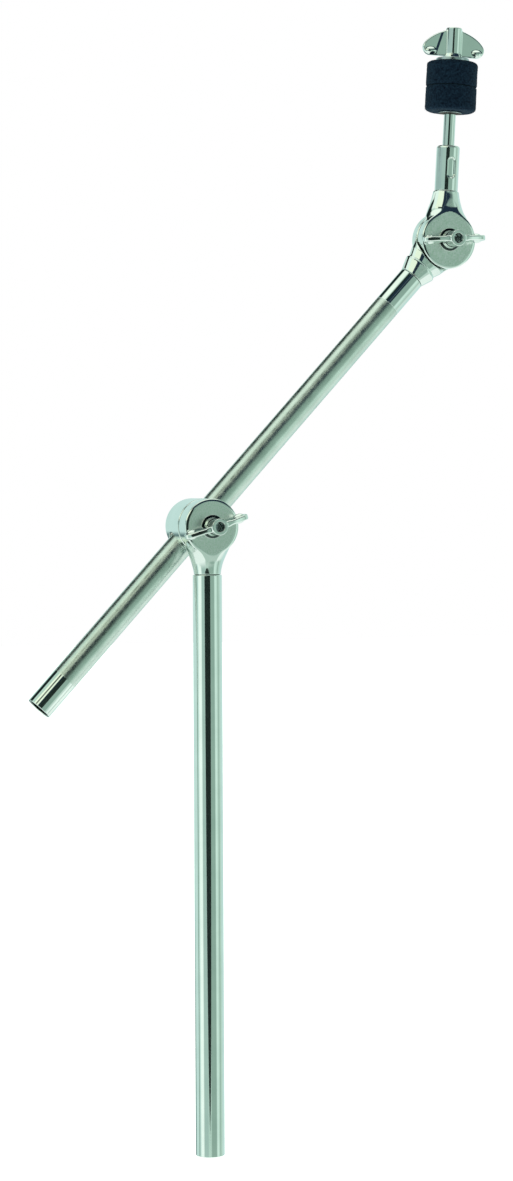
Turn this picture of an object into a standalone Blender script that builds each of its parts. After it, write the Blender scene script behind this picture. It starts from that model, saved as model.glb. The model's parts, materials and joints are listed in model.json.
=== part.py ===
"""Cymbal boom stand: lower tube, boom clamp, boom, upper tilter and cymbal post.

The row frame has its origin at the centre of the lower tube's bottom end. +Z runs up the tube,
both tilters turn about the Y direction, and the wing nuts face -Y.
"""

from math import copysign, cos, pi, radians, sin, tau

import bmesh
import bpy
from mathutils import Matrix

MM = 0.001

# Clearances and mesh fineness
GAP = 0.3 * MM
MERGE_DISTANCE = 0.001 * MM
CUT_OVERLAP = 0.1 * MM
SMOOTH_ANGLE = radians(35.0)
FINE_EDGE = 0.2 * MM
LIP_EDGE = 0.4 * MM
THREAD_EDGE = 0.5 * MM
TUBE_STEPS = 36
ROUND_STEPS = 36
SMALL_STEPS = 20
HEX_STEPS = 6

# Tubes
LOWER_TUBE_RADIUS = 9.525 * MM
BOOM_RADIUS = 8.75 * MM
TUBE_WALL = 1.2 * MM
TILT_HEIGHT = 415.5 * MM
NECK_BASE = 31.5 * MM
NECK_FOOT_RADIUS = 8.6 * MM
SPIGOT_LENGTH = 20.0 * MM

# Boom direction and reach, from the lower tilter's axis
BOOM_ANGLE = radians(42.75)
BOOM_OFFSET = 21.5 * MM
BOOM_TAIL = 161.0 * MM
BOOM_REACH = 262.0 * MM
CONE_BASE = 35.0 * MM

# Tilters
LOWER_DISC_RADIUS = 18.4 * MM
UPPER_DISC_RADIUS = 19.5 * MM
RING_MARGIN = 1.5 * MM
DISC_EDGE = 0.8 * MM
DISC_CLEARANCE = 0.8 * MM
LOWER_DISC_FRONT = -11.0 * MM
LOWER_DISC_BACK = 4.0 * MM
RING_THICKNESS = 0.6 * MM
UPPER_DISC_DEPTH = 10.0 * MM
UPPER_BACK_DEPTH = 9.6 * MM
BOLT_HEAD_WIDTH = 10.0 * MM
BOLT_HEAD_HEIGHT = 4.0 * MM
BOLT_POCKET_DEPTH = 3.0 * MM
SHANK_ROOT = 1.0 * MM
STUD_RADIUS = 3.0 * MM
STUD_HOLE = STUD_RADIUS + GAP
STUD_RECESS = 8.0 * MM

# Boom clamp
CLAMP_FRONT = LOWER_DISC_BACK + RING_THICKNESS + 2.0 * GAP
CLAMP_BACK = 35.5 * MM
CLAMP_ROUNDING = 4.0 * MM
BUSH_WALL = 0.8 * MM
BUSH_HALF_LENGTH = 15.0 * MM
BUSH_SLIT = 1.5 * MM
EYE_WALL = 1.8 * MM
EYE_HALF_WIDTH = 3.5 * MM
COVER_RADIUS = 13.2 * MM
COVER_THICKNESS = 1.2 * MM

# Washers and wing nuts
WASHER_RADIUS = 7.8 * MM
WASHER_THICKNESS = 1.5 * MM
TILTER_NUT_HEIGHT = 14.4 * MM
CYMBAL_NUT_HEIGHT = 20.4 * MM
HUB_RADIUS = 5.5 * MM
HUB_FOOT_RADIUS = 6.3 * MM
HUB_FOOT_HEIGHT = 1.5 * MM
TILTER_WING_HALF_SPAN = 22.8 * MM
CYMBAL_WING_HALF_SPAN = 21.8 * MM
WING_THICKNESS = 4.2 * MM
WING_FOOT = 1.2 * MM
WING_CORNER = 5.6 * MM
WING_FULLNESS = 1.5
WING_CROWN_DROP = 0.8 * MM
LOWER_WING_ANGLE = radians(17.4)
UPPER_WING_ANGLE = radians(2.4)
CYMBAL_WING_ANGLE = radians(-8.0)

# Springs
SPRING_COIL_RADIUS = 4.6 * MM
SPRING_WIRE_RADIUS = 0.45 * MM
SPRING_POCKET_RADIUS = 5.7 * MM
SPRING_POCKET_DEPTH = 5.0 * MM
SPRING_TURNS = 3.5
SPRING_POINTS_PER_TURN = 12

# Post, rod and cymbal seat, measured along the post from the upper tilter's axis
POST_ANGLE = radians(3.3)
POST_NECK_TOP = 33.4 * MM
POST_SPIGOT_RADIUS = 5.9 * MM
POST_SPIGOT_LENGTH = 14.0 * MM
POST_RADIUS = 7.85 * MM
POST_TOP = 64.3 * MM
POST_EDGE = 1.2 * MM
DIMPLE_CENTRE = 49.0 * MM
DIMPLE_LENGTH = 14.2 * MM
DIMPLE_WIDTH = 5.8 * MM
DIMPLE_DEPTH = 0.8 * MM
ROD_RADIUS = 4.0 * MM
ROD_THREAD_RADIUS = 3.0 * MM
ROD_SHOULDER = 86.1 * MM
ROD_TOP = 143.0 * MM
SEAT_RADIUS = 7.8 * MM
SEAT_THICKNESS = 0.8 * MM
FELT_RADIUS = 17.6 * MM
FELT_THICKNESS = 16.6 * MM
FELT_EDGE = 1.2 * MM
SLEEVE_RADIUS = 5.3 * MM
SLEEVE_LENGTH = 28.0 * MM
TOP_WASHER_RADIUS = 11.3 * MM
TOP_WASHER_THICKNESS = 2.2 * MM

# Turning a local Z direction onto the tilters' axes
FACING_BACK = (-pi / 2.0, 0.0, 0.0)
FACING_FRONT = (pi / 2.0, 0.0, 0.0)

MATERIALS = {
    "chrome": ((0.72, 0.78, 0.76, 1.0), 0.12, 1.0),
    "satin_chrome": ((0.62, 0.68, 0.65, 1.0), 0.35, 1.0),
    "felt": ((0.012, 0.030, 0.055, 1.0), 0.95, 0.0),
    "nylon": ((0.80, 0.80, 0.76, 1.0), 0.45, 0.0),
    "fibre": ((0.10, 0.08, 0.07, 1.0), 0.80, 0.0),
    "zinc_steel": ((0.55, 0.57, 0.58, 1.0), 0.30, 1.0),
}


def clear_scene():
    """Remove every object that the opened file holds."""
    for item in list(bpy.data.objects):
        bpy.data.objects.remove(item)


def make_material(name):
    """Return the named material, making its Principled shader on first use."""
    if name in bpy.data.materials:
        return bpy.data.materials[name]
    colour, roughness, metallic = MATERIALS[name]
    material = bpy.data.materials.new(name)
    material.use_nodes = True
    material.diffuse_color = colour
    shader = material.node_tree.nodes["Principled BSDF"]
    shader.inputs["Base Color"].default_value = colour
    shader.inputs["Roughness"].default_value = roughness
    shader.inputs["Metallic"].default_value = metallic
    return material


def make_pivot(name, parent, location, rotation=(0.0, 0.0, 0.0)):
    """Add an empty that carries the pieces turning about it."""
    pivot = bpy.data.objects.new(name, None)
    pivot.location = location
    pivot.rotation_euler = rotation
    pivot.parent = parent
    bpy.context.collection.objects.link(pivot)
    return pivot


def place(name, edit, material, parent, location=(0.0, 0.0, 0.0), rotation=(0.0, 0.0, 0.0)):
    """Turn an edited mesh into a named object under its parent."""
    bmesh.ops.recalc_face_normals(edit, faces=edit.faces)
    mesh = bpy.data.meshes.new(name)
    edit.to_mesh(mesh)
    edit.free()
    mesh.shade_smooth()
    mesh.set_sharp_from_angle(angle=SMOOTH_ANGLE)
    mesh.materials.append(make_material(material))
    item = bpy.data.objects.new(name, mesh)
    item.parent = parent
    item.location = location
    item.rotation_euler = rotation
    bpy.context.collection.objects.link(item)
    return item


def turned(section, steps=ROUND_STEPS):
    """Spin (radius, height) points about Z; a section from axis to axis makes a solid."""
    edit = bmesh.new()
    verts = [edit.verts.new((radius, 0.0, height)) for radius, height in section]
    starts_and_ends_on_axis = section[0][0] == 0.0 and section[-1][0] == 0.0
    following = verts[1:] if starts_and_ends_on_axis else verts[1:] + verts[:1]
    edges = [edit.edges.new(pair) for pair in zip(verts, following)]
    bmesh.ops.spin(edit, geom=verts + edges, cent=(0.0, 0.0, 0.0), axis=(0.0, 0.0, 1.0),
                   angle=tau, steps=steps, use_merge=True)
    bmesh.ops.remove_doubles(edit, verts=edit.verts, dist=MERGE_DISTANCE)
    return edit


def rod_section(radius, low, high, edge=0.0):
    """Section of a solid round bar with an optional chamfer at both ends."""
    if edge == 0.0:
        return [(0.0, low), (radius, low), (radius, high), (0.0, high)]
    return [(0.0, low), (radius - edge, low), (radius, low + edge),
            (radius, high - edge), (radius - edge, high), (0.0, high)]


def ring_section(inner, outer, low, high, edge=0.0):
    """Section of a ring with an optional chamfer on its outer edges."""
    if edge == 0.0:
        return [(inner, low), (outer, low), (outer, high), (inner, high)]
    return [(inner, low), (outer - edge, low), (outer, low + edge),
            (outer, high - edge), (outer - edge, high), (inner, high)]


def lofted(rings, steps=ROUND_STEPS):
    """Bridge oval rings, each (height, half width in X, half width in Y, centre in Y)."""
    edit = bmesh.new()
    loops = []
    for height, half_x, half_y, centre_y in rings:
        matrix = Matrix.LocRotScale((0.0, centre_y, height), None, (half_x, half_y, 1.0))
        circle = bmesh.ops.create_circle(edit, segments=steps, radius=1.0, matrix=matrix)
        loops.append({edge for vert in circle["verts"] for edge in vert.link_edges})
    for lower, upper in zip(loops, loops[1:]):
        bmesh.ops.bridge_loops(edit, edges=list(lower | upper))
    bmesh.ops.holes_fill(edit, edges=edit.edges, sides=steps)
    return edit


def box(size_x, size_y, size_z, centre):
    """A box of the given sizes about its centre."""
    edit = bmesh.new()
    scale = Matrix.LocRotScale(centre, None, (size_x, size_y, size_z))
    bmesh.ops.create_cube(edit, size=1.0, matrix=scale)
    return edit


def prism(outline, thickness):
    """Extrude an outline in the XZ plane to both sides of that plane."""
    edit = bmesh.new()
    verts = [edit.verts.new((x, -thickness / 2.0, z)) for x, z in outline]
    face = edit.faces.new(verts)
    side = bmesh.ops.extrude_face_region(edit, geom=[face])
    moved = [item for item in side["geom"] if isinstance(item, bmesh.types.BMVert)]
    bmesh.ops.translate(edit, verts=moved, vec=(0.0, thickness, 0.0))
    return edit


def combine(target, tool, operation):
    """Join a hidden tool to the target or cut it away."""
    modifier = target.modifiers.new(tool.name, "BOOLEAN")
    modifier.operation = operation
    modifier.solver = "EXACT"
    modifier.object = tool
    tool.hide_render = True
    tool.display_type = "WIRE"


def cut_round(target, name, radius, low, high, parent, location, rotation):
    """Cut a round hole whose axis is the tool's own Z."""
    tool = place(name, turned(rod_section(radius, low, high)), "zinc_steel", parent, location, rotation)
    combine(target, tool, "DIFFERENCE")


def make_lower_tube():
    """The plain tube, standing with its lower end at the origin."""
    top = TILT_HEIGHT - NECK_BASE - GAP
    section = ring_section(LOWER_TUBE_RADIUS - TUBE_WALL, LOWER_TUBE_RADIUS, 0.0, top, LIP_EDGE)
    place("lower_tube", turned(section, TUBE_STEPS), "chrome", None)


def make_casting(name, parent, location, radius, span, rings, cut_span, pocket):
    """A tilter half: a disc across Y joined to a flared neck along Z, bored and pocketed."""
    disc = turned(rod_section(radius, *span, DISC_EDGE))
    casting = place(name, disc, "satin_chrome", parent, location, FACING_BACK)
    neck = place(name + "_neck", lofted(rings), "chrome", parent, location)
    cut_round(neck, name + "_relief", radius + DISC_CLEARANCE, *cut_span, parent, location,
              FACING_BACK)
    combine(casting, neck, "UNION")
    reach = 2.0 * radius
    cut_round(casting, name + "_bore", STUD_HOLE, -reach, reach, parent, location, FACING_BACK)
    if pocket:
        cut_round(casting, name + "_pocket", SPRING_POCKET_RADIUS, *pocket, parent, location,
                  FACING_BACK)
    return casting


def make_tube_neck(pivot):
    """Neck casting: spigot inside the lower tube, flare and the fixed front disc."""
    spigot = LOWER_TUBE_RADIUS - TUBE_WALL - GAP
    rings = [
        (-NECK_BASE - SPIGOT_LENGTH, spigot, spigot, 0.0),
        (-NECK_BASE, spigot, spigot, 0.0),
        (-NECK_BASE, NECK_FOOT_RADIUS, NECK_FOOT_RADIUS, 0.0),
        (-27.0 * MM, 9.3 * MM, 8.9 * MM, -0.3 * MM),
        (-22.4 * MM, 10.9 * MM, 9.2 * MM, -0.8 * MM),
        (-18.0 * MM, 12.8 * MM, 9.2 * MM, -1.5 * MM),
        (-12.0 * MM, 14.0 * MM, 8.5 * MM, -2.2 * MM),
        (-5.0 * MM, 13.0 * MM, 6.0 * MM, -3.0 * MM),
    ]
    inside = LOWER_DISC_BACK - CUT_OVERLAP
    pocket = (LOWER_DISC_BACK - SPRING_POCKET_DEPTH, CLAMP_FRONT)
    make_casting("tube_neck", pivot, (0.0, 0.0, 0.0), LOWER_DISC_RADIUS,
                 (LOWER_DISC_FRONT, LOWER_DISC_BACK), rings, (inside, CLAMP_BACK), pocket)


def make_friction_ring(name, pivot, disc_radius, low):
    """Fibre ring between the two halves of a tilter."""
    section = ring_section(SPRING_POCKET_RADIUS + RING_MARGIN, disc_radius - RING_MARGIN,
                           low, low + RING_THICKNESS)
    place(name, turned(section), "fibre", pivot, rotation=FACING_BACK)


def make_spring(name, pivot, low, high):
    """Open coil spring along Y between two depths, as one round wire."""
    curve = bpy.data.curves.new(name, "CURVE")
    curve.dimensions = "3D"
    curve.bevel_depth = SPRING_WIRE_RADIUS
    curve.bevel_resolution = 1
    curve.use_fill_caps = True
    curve.materials.append(make_material("zinc_steel"))
    count = int(SPRING_TURNS * SPRING_POINTS_PER_TURN) + 1
    spline = curve.splines.new("POLY")
    spline.points.add(count - 1)
    first = low + SPRING_WIRE_RADIUS
    rise = high - low - 2.0 * SPRING_WIRE_RADIUS
    for index, point in enumerate(spline.points):
        angle = tau * index / SPRING_POINTS_PER_TURN
        depth = first + rise * index / (count - 1)
        point.co = (SPRING_COIL_RADIUS * cos(angle), depth, SPRING_COIL_RADIUS * sin(angle), 1.0)
    spring = bpy.data.objects.new(name, curve)
    spring.parent = pivot
    bpy.context.collection.objects.link(spring)


def rounded_drum_section():
    """Section of the boom clamp's drum: square front edge, rounded back edge."""
    centre_radius = LOWER_DISC_RADIUS - CLAMP_ROUNDING
    centre_height = CLAMP_BACK - CLAMP_ROUNDING
    arc_points = 6
    section = [(0.0, CLAMP_FRONT), (LOWER_DISC_RADIUS - DISC_EDGE, CLAMP_FRONT),
               (LOWER_DISC_RADIUS, CLAMP_FRONT + DISC_EDGE)]
    for index in range(arc_points + 1):
        angle = pi / 2.0 * index / arc_points
        section.append((centre_radius + CLAMP_ROUNDING * cos(angle),
                        centre_height + CLAMP_ROUNDING * sin(angle)))
    section.append((0.0, CLAMP_BACK))
    return section


def make_boom_clamp(pivot, boom_line):
    """Drum with the boom's cross bore, the eye bolt's slot and a recess for the cover."""
    drum = place("boom_clamp", turned(rounded_drum_section()), "chrome", pivot, rotation=FACING_BACK)
    here = (0.0, 0.0, 0.0)
    bush_outer = BOOM_RADIUS + GAP + BUSH_WALL
    eye_outer = bush_outer + GAP + EYE_WALL
    slot_half = EYE_HALF_WIDTH + GAP
    slot_floor = CLAMP_BACK - COVER_THICKNESS - 2.0 * GAP
    cut_round(drum, "boom_bore", bush_outer + GAP, -BOOM_TAIL, BOOM_TAIL, boom_line, here, here)
    slot = place("eye_slot", prism(eye_slot_outline(eye_outer + GAP), 2.0 * slot_half), "zinc_steel",
                 boom_line, rotation=FACING_BACK)
    combine(drum, slot, "DIFFERENCE")
    cut_round(drum, "stud_bore", STUD_HOLE, 0.0, BOOM_OFFSET, pivot, here, FACING_BACK)
    cut_round(drum, "cover_recess", COVER_RADIUS + GAP, slot_floor, CLAMP_BACK + GAP, pivot, here,
              FACING_BACK)


def eye_slot_outline(half_width):
    """U-shaped outline: round where the eye rests and open towards the drum's back."""
    arc_steps = 16
    outline = []
    for index in range(arc_steps + 1):
        angle = pi + pi * index / arc_steps
        outline.append((half_width * cos(angle), half_width * sin(angle)))
    reach = CLAMP_BACK - BOOM_OFFSET
    outline.append((half_width, reach))
    outline.append((-half_width, reach))
    return outline


def make_clamp_cover(pivot):
    """Round plate pressed into the back of the boom clamp."""
    top = CLAMP_BACK - GAP
    section = rod_section(COVER_RADIUS, top - COVER_THICKNESS, top, FINE_EDGE)
    place("clamp_cover", turned(section), "zinc_steel", pivot, rotation=FACING_BACK)


def make_eye_bolt(boom_line):
    """Ring round the boom with a threaded stud that runs forward through the tilter."""
    inner = BOOM_RADIUS + 2.0 * GAP + BUSH_WALL
    outer = inner + EYE_WALL
    section = ring_section(inner, outer, -EYE_HALF_WIDTH, EYE_HALF_WIDTH, LIP_EDGE)
    eye = place("eye_bolt", turned(section), "zinc_steel", boom_line)
    root_depth = inner + EYE_WALL / 2.0
    front = BOOM_OFFSET - lower_nut_front() - STUD_RECESS
    stud = turned([(0.0, root_depth), (STUD_RADIUS, root_depth), (STUD_RADIUS, front - THREAD_EDGE),
                   (STUD_RADIUS - THREAD_EDGE, front), (0.0, front)], SMALL_STEPS)
    tool = place("eye_bolt_stud", stud, "zinc_steel", boom_line, rotation=FACING_FRONT)
    combine(eye, tool, "UNION")


def lower_nut_front():
    """Depth of the lower wing nut's outer end."""
    return LOWER_DISC_FRONT - 2.0 * GAP - WASHER_THICKNESS - TILTER_NUT_HEIGHT


def upper_nut_front():
    """Depth of the upper wing nut's outer end, from the boom's plane."""
    return -UPPER_DISC_DEPTH - 2.0 * GAP - WASHER_THICKNESS - TILTER_NUT_HEIGHT


def straighter(share):
    """Turn a circle's coordinate into that of a superellipse with straighter sides."""
    return copysign(abs(share) ** (2.0 / WING_FULLNESS), share)


def wing_outline(half_span, height):
    """Half-moon outline of both wings: flat foot, rounded lower corners and a domed top."""
    corner = WING_CORNER
    shoulder = WING_FOOT + corner
    corner_steps = 4
    dome_steps = 16
    crown = height - WING_CROWN_DROP
    outline = []
    for index in range(corner_steps):
        angle = pi / 2.0 * index / corner_steps
        outline.append((half_span - corner + corner * sin(angle), shoulder - corner * cos(angle)))
    for index in range(dome_steps + 1):
        angle = pi * index / dome_steps
        outline.append((half_span * straighter(cos(angle)),
                        shoulder + (crown - shoulder) * straighter(sin(angle))))
    for index in range(corner_steps, 0, -1):
        angle = pi / 2.0 * (index - 1) / corner_steps
        outline.append((-half_span + corner - corner * sin(angle), shoulder - corner * cos(angle)))
    return outline


def make_wing_nut(name, half_span, height, parent, location, rotation):
    """Wing nut standing on its own Z: hub with a foot, two wings and a through bore."""
    foot = HUB_FOOT_HEIGHT
    edge = THREAD_EDGE
    hub = turned([(0.0, 0.0), (HUB_FOOT_RADIUS, 0.0), (HUB_FOOT_RADIUS, foot), (HUB_RADIUS, foot + edge),
                  (HUB_RADIUS, height - edge), (HUB_RADIUS - edge, height), (0.0, height)], SMALL_STEPS)
    nut = place(name, hub, "chrome", parent, location, rotation)
    wings = place(name + "_wings", prism(wing_outline(half_span, height), WING_THICKNESS), "chrome", parent,
                  location, rotation)
    combine(nut, wings, "UNION")
    cut_round(nut, name + "_bore", STUD_HOLE, -height, 2.0 * height, parent, location, rotation)


def make_washer(name, radius, thickness, parent, location, rotation):
    """Flat washer with chamfered rims, from its own origin up."""
    section = ring_section(STUD_HOLE, radius, 0.0, thickness, FINE_EDGE)
    place(name, turned(section), "zinc_steel", parent, location, rotation)


def make_lower_nut(pivot):
    """Washer and wing nut in front of the lower tilter."""
    washer_foot = LOWER_DISC_FRONT - GAP
    nut_foot = washer_foot - WASHER_THICKNESS - GAP
    make_washer("lower_washer", WASHER_RADIUS, WASHER_THICKNESS, pivot, (0.0, washer_foot, 0.0),
                FACING_FRONT)
    turn = (FACING_FRONT[0], -LOWER_WING_ANGLE, 0.0)
    make_wing_nut("lower_wing_nut", TILTER_WING_HALF_SPAN, TILTER_NUT_HEIGHT, pivot,
                  (0.0, nut_foot, 0.0), turn)


def make_boom(boom_line):
    """Split bush, boom tube and the casting at its upper end."""
    bush_inner = BOOM_RADIUS + GAP
    bush_outer = bush_inner + BUSH_WALL
    section = ring_section(bush_inner, bush_outer, -BUSH_HALF_LENGTH, BUSH_HALF_LENGTH)
    bush = place("boom_bush", turned(section), "nylon", boom_line)
    slit = place("bush_slit", box(2.0 * bush_outer, BUSH_SLIT, 3.0 * BUSH_HALF_LENGTH,
                                  (bush_outer, 0.0, 0.0)), "nylon", boom_line)
    combine(bush, slit, "DIFFERENCE")
    top = BOOM_REACH - CONE_BASE - GAP
    tube = ring_section(BOOM_RADIUS - TUBE_WALL, BOOM_RADIUS, -BOOM_TAIL, top, LIP_EDGE)
    place("boom_tube", turned(tube, TUBE_STEPS), "satin_chrome", boom_line)
    make_boom_end(boom_line)
    make_clamp_bolt(boom_line)


def make_boom_end(boom_line):
    """Cone on the boom's end and the back half of the upper tilter."""
    spigot = BOOM_RADIUS - TUBE_WALL - GAP
    rings = [
        (-CONE_BASE - SPIGOT_LENGTH, spigot, spigot, 0.0),
        (-CONE_BASE, spigot, spigot, 0.0),
        (-CONE_BASE, BOOM_RADIUS, BOOM_RADIUS, 0.0),
        (-26.0 * MM, 11.8 * MM, 9.4 * MM, 0.0),
        (-25.2 * MM, 11.8 * MM, 9.4 * MM, 0.0),
        (-24.6 * MM, 11.2 * MM, 8.9 * MM, 0.0),
        (-19.0 * MM, 12.9 * MM, 8.9 * MM, 0.0),
        (-14.0 * MM, 14.4 * MM, 8.1 * MM, 0.7 * MM),
        (-5.0 * MM, 12.0 * MM, 3.7 * MM, 5.0 * MM),
    ]
    front = RING_THICKNESS / 2.0 + GAP
    back = UPPER_BACK_DEPTH
    here = (0.0, 0.0, BOOM_REACH)
    casting = make_casting("boom_end", boom_line, here, UPPER_DISC_RADIUS, (front, back), rings,
                           (-CLAMP_BACK, front + CUT_OVERLAP), None)
    pocket = hex_bar(bolt_head_radius() + GAP, back - BOLT_POCKET_DEPTH, back + GAP)
    tool = place("bolt_head_pocket", pocket, "zinc_steel", boom_line, here, FACING_BACK)
    combine(casting, tool, "DIFFERENCE")


def bolt_head_radius():
    """Corner radius of the hexagon head."""
    return BOLT_HEAD_WIDTH / 2.0 / cos(pi / HEX_STEPS)


def hex_bar(radius, low, high):
    """Hexagon bar between two heights."""
    return turned(rod_section(radius, low, high), HEX_STEPS)


def make_clamp_bolt(boom_line):
    """Hexagon-head bolt through the upper tilter, its head in the back half."""
    head_floor = UPPER_BACK_DEPTH - BOLT_POCKET_DEPTH + GAP
    head_top = head_floor + BOLT_HEAD_HEIGHT
    here = (0.0, 0.0, BOOM_REACH)
    front = upper_nut_front() + STUD_RECESS
    bolt = place("upper_clamp_bolt", hex_bar(bolt_head_radius(), head_floor, head_top), "zinc_steel",
                 boom_line, here, FACING_BACK)
    shank = turned(rod_section(STUD_RADIUS, front, head_floor + SHANK_ROOT, THREAD_EDGE), SMALL_STEPS)
    tool = place("upper_clamp_bolt_shank", shank, "zinc_steel", boom_line, here, FACING_BACK)
    combine(bolt, tool, "UNION")


def make_upper_tilter(boom_line, post_pivot):
    """Post casting with its ring and spring, and the washer and wing nut in front of it."""
    rings = [
        (POST_NECK_TOP + POST_SPIGOT_LENGTH, POST_SPIGOT_RADIUS, POST_SPIGOT_RADIUS, 0.0),
        (POST_NECK_TOP, POST_SPIGOT_RADIUS, POST_SPIGOT_RADIUS, 0.0),
        (POST_NECK_TOP, 8.0 * MM, 8.0 * MM, 0.0),
        (POST_NECK_TOP - 0.8 * MM, 8.8 * MM, 8.6 * MM, 0.0),
        (26.0 * MM, 10.3 * MM, 8.8 * MM, 0.0),
        (20.5 * MM, 12.4 * MM, 9.0 * MM, 0.0),
        (15.0 * MM, 15.2 * MM, 8.2 * MM, -1.0 * MM),
        (5.0 * MM, 13.0 * MM, 4.0 * MM, -5.0 * MM),
    ]
    back = -RING_THICKNESS / 2.0 - GAP
    here = (0.0, 0.0, 0.0)
    pocket = (back - SPRING_POCKET_DEPTH, GAP)
    make_casting("post_casting", post_pivot, here, UPPER_DISC_RADIUS, (-UPPER_DISC_DEPTH, back),
                 rings, (back - CUT_OVERLAP, CLAMP_BACK), pocket)
    make_friction_ring("upper_friction_ring", post_pivot, UPPER_DISC_RADIUS, -RING_THICKNESS / 2.0)
    make_spring("upper_spring", post_pivot, back - SPRING_POCKET_DEPTH + GAP, RING_THICKNESS / 2.0)
    washer_foot = -UPPER_DISC_DEPTH - GAP
    nut_foot = washer_foot - WASHER_THICKNESS - GAP
    make_washer("upper_washer", WASHER_RADIUS, WASHER_THICKNESS, boom_line,
                (0.0, washer_foot, BOOM_REACH), FACING_FRONT)
    turn = (FACING_FRONT[0], -UPPER_WING_ANGLE - BOOM_ANGLE, 0.0)
    make_wing_nut("upper_wing_nut", TILTER_WING_HALF_SPAN, TILTER_NUT_HEIGHT, boom_line,
                  (0.0, nut_foot, BOOM_REACH), turn)


def make_post_sleeve(post_pivot):
    """Round sleeve on the neck's spigot, crimped to the rod by one oblong dimple."""
    low = POST_NECK_TOP + GAP
    step = POST_NECK_TOP + POST_SPIGOT_LENGTH + GAP
    wide = POST_SPIGOT_RADIUS + GAP
    narrow = ROD_RADIUS + GAP
    section = [(wide, low), (POST_RADIUS, low), (POST_RADIUS, POST_TOP - POST_EDGE),
               (POST_RADIUS - POST_EDGE / 3.0, POST_TOP - POST_EDGE / 3.0),
               (POST_RADIUS - POST_EDGE, POST_TOP), (narrow, POST_TOP), (narrow, step), (wide, step)]
    sleeve = place("post_sleeve", turned(section), "chrome", post_pivot)
    straight = (DIMPLE_LENGTH - DIMPLE_WIDTH) / 2.0
    end_steps = 8
    outline = []
    for end in (0, 1):
        for index in range(end_steps + 1):
            angle = pi * end + pi * index / end_steps
            rise = DIMPLE_CENTRE + (straight if end == 0 else -straight)
            outline.append((DIMPLE_WIDTH / 2.0 * cos(angle), rise + DIMPLE_WIDTH / 2.0 * sin(angle)))
    depth = 2.0 * DIMPLE_DEPTH
    dimple = place("post_dimple", prism(outline, depth), "chrome", post_pivot, (0.0, -POST_RADIUS, 0.0))
    combine(sleeve, dimple, "DIFFERENCE")


def make_cymbal_seat(post_pivot):
    """Rod, seat washer, nylon sleeve, both felts, top washer and the cymbal wing nut."""
    rod_foot = POST_NECK_TOP + POST_SPIGOT_LENGTH + 2.0 * GAP
    edge = THREAD_EDGE
    rod = [(0.0, rod_foot), (ROD_RADIUS, rod_foot), (ROD_RADIUS, ROD_SHOULDER),
           (ROD_THREAD_RADIUS, ROD_SHOULDER), (ROD_THREAD_RADIUS, ROD_TOP - edge),
           (ROD_THREAD_RADIUS - edge, ROD_TOP), (0.0, ROD_TOP)]
    place("cymbal_rod", turned(rod, SMALL_STEPS), "chrome", post_pivot)
    upright = (0.0, 0.0, 0.0)
    level = ROD_SHOULDER + GAP
    make_washer("seat_washer", SEAT_RADIUS, SEAT_THICKNESS, post_pivot, (0.0, 0.0, level), upright)
    level += SEAT_THICKNESS + GAP
    sleeve = ring_section(STUD_HOLE, SLEEVE_RADIUS, level, level + SLEEVE_LENGTH)
    place("rod_sleeve", turned(sleeve, SMALL_STEPS), "nylon", post_pivot)
    for name in ("lower_felt", "upper_felt"):
        felt = ring_section(SLEEVE_RADIUS + GAP, FELT_RADIUS, 0.0, FELT_THICKNESS, FELT_EDGE)
        place(name, turned(felt), "felt", post_pivot, (0.0, 0.0, level))
        level += FELT_THICKNESS + GAP
    make_washer("top_washer", TOP_WASHER_RADIUS, TOP_WASHER_THICKNESS, post_pivot, (0.0, 0.0, level),
                upright)
    level += TOP_WASHER_THICKNESS + GAP
    make_wing_nut("cymbal_wing_nut", CYMBAL_WING_HALF_SPAN, CYMBAL_NUT_HEIGHT, post_pivot,
                  (0.0, 0.0, level), (0.0, 0.0, CYMBAL_WING_ANGLE))


def main():
    """Build the whole stand from the bottom up."""
    clear_scene()
    pivot = make_pivot("lower_tilt_pivot", None, (0.0, 0.0, TILT_HEIGHT))
    boom_line = make_pivot("boom_line", pivot, (0.0, BOOM_OFFSET, 0.0), (0.0, BOOM_ANGLE, 0.0))
    post_pivot = make_pivot("post_pivot", boom_line, (0.0, 0.0, BOOM_REACH),
                            (0.0, POST_ANGLE - BOOM_ANGLE, 0.0))
    make_lower_tube()
    make_tube_neck(pivot)
    make_friction_ring("lower_friction_ring", pivot, LOWER_DISC_RADIUS, LOWER_DISC_BACK + GAP)
    make_spring("lower_spring", pivot, LOWER_DISC_BACK - SPRING_POCKET_DEPTH + GAP,
                CLAMP_FRONT - GAP)
    make_boom_clamp(pivot, boom_line)
    make_clamp_cover(pivot)
    make_eye_bolt(boom_line)
    make_lower_nut(pivot)
    make_boom(boom_line)
    make_upper_tilter(boom_line, post_pivot)
    make_post_sleeve(post_pivot)
    make_cymbal_seat(post_pivot)


main()
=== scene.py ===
"""Looks of the cymbal boom stand: chrome tube, polished castings, knurled boom and two felts.

Inside the builders a length is in millimetres in the piece's own frame. The placing matrices come
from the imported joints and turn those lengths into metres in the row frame.
"""

import json
from math import acos, atan2, cos, pi, radians, sin, tan, tau

import bpy
import numpy as np
from mathutils import Matrix, Vector, noise

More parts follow.
